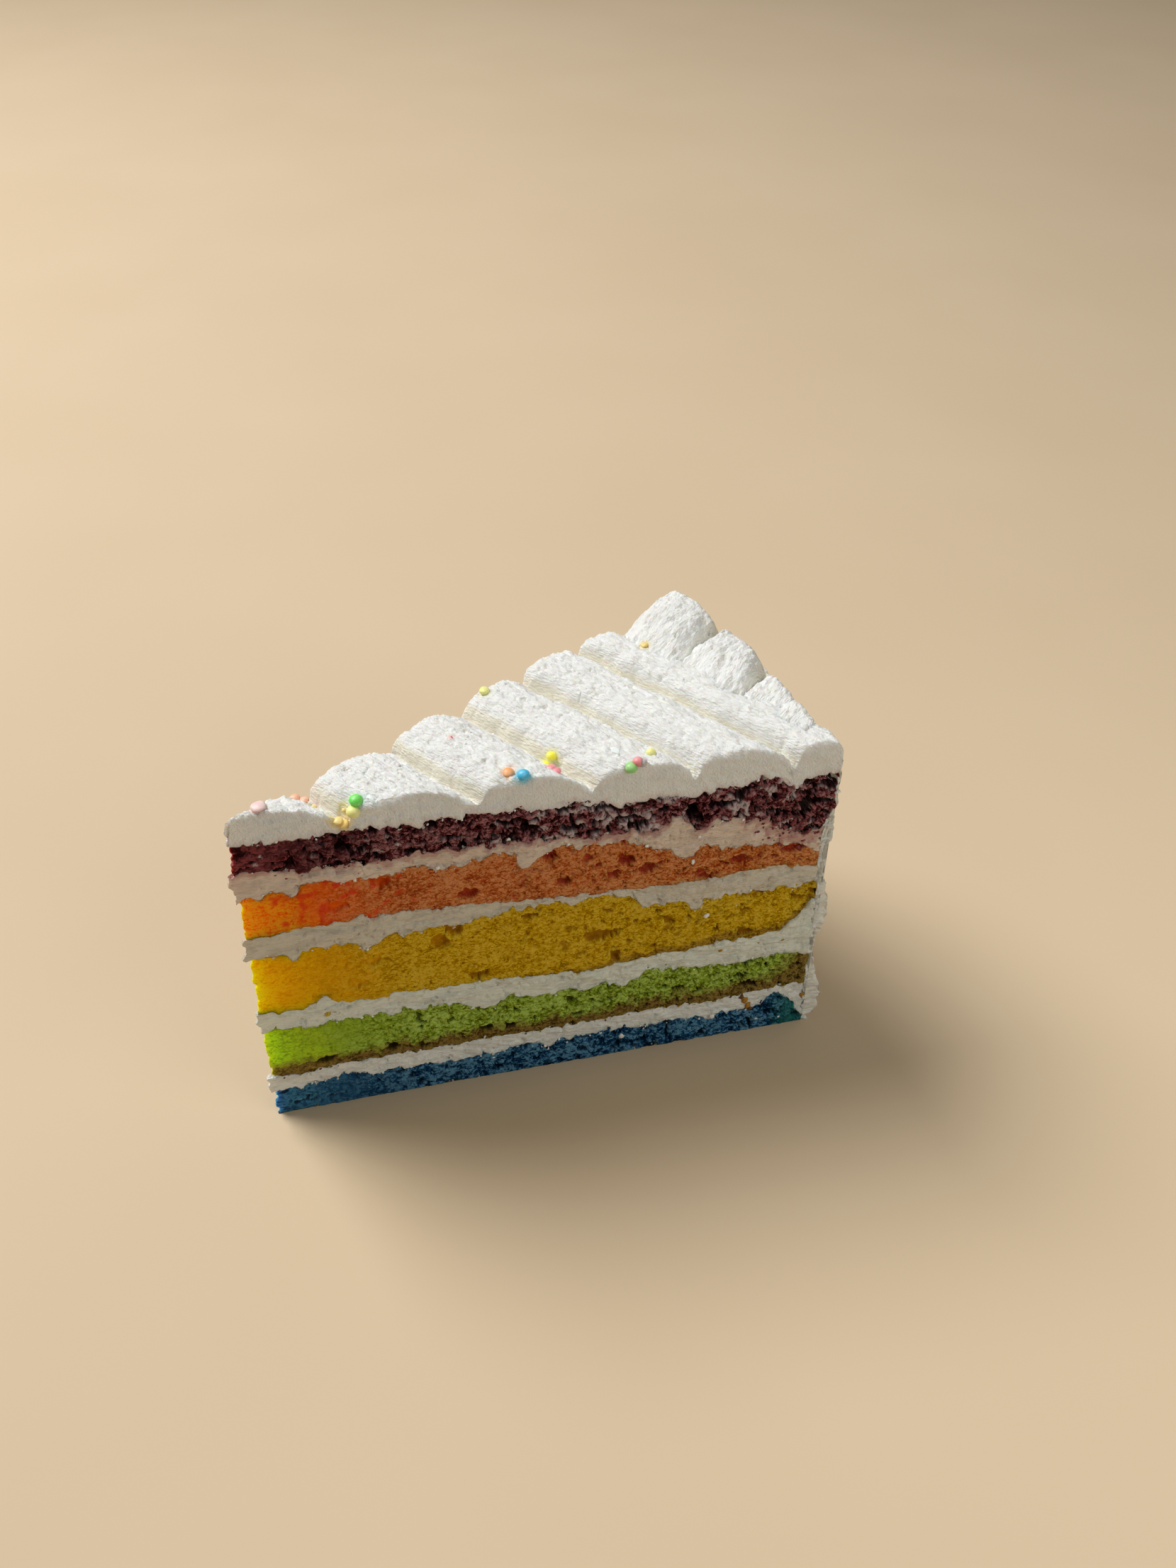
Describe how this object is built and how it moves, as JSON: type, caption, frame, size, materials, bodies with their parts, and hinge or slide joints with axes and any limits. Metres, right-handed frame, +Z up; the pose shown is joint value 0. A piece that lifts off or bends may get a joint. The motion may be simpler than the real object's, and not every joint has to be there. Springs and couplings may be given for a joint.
{
  "type": "slice of rainbow layer cake",
  "caption": "Wedge of layer cake with coloured sponges, cream between them, a cream-coated rim, and piped cream ridges and lobes on top.",
  "frame": {"origin": "middle of the base", "axes": "+Z up; +X from the tip to the rim along the middle of the wedge; the cut face that is seen from the front is on the -Y side"},
  "size_m": [0.1116, 0.0582, 0.0794],
  "materials": {
    "sponge_blue": "open sponge crumb, dark teal blue",
    "sponge_green": "open sponge crumb, lime green with a browned underside",
    "sponge_yellow": "open sponge crumb, golden yellow",
    "sponge_orange": "open sponge crumb, orange",
    "sponge_red": "coarse open sponge crumb, dark red",
    "filling_cream": "soft cut cream, off-white",
    "rim_cream": "roughly spread cream, off-white",
    "top_cream": "piped cream with a fine open texture, white"
  },
  "bodies": {
    "root": {"sponge_blue": "sponge_blue", "sponge_green": "sponge_green", "sponge_yellow": "sponge_yellow", "sponge_orange": "sponge_orange", "sponge_red": "sponge_red", "cream_blue_green": "filling_cream", "cream_green_yellow": "filling_cream", "cream_yellow_orange": "filling_cream", "cream_orange_red": "filling_cream", "cream_rim": "rim_cream", "cream_top": "top_cream", "cream_lobe_1": "top_cream", "cream_lobe_2": "top_cream", "cream_lobe_3": "top_cream", "cream_lobe_4": "top_cream"}
  },
  "joints": []
}
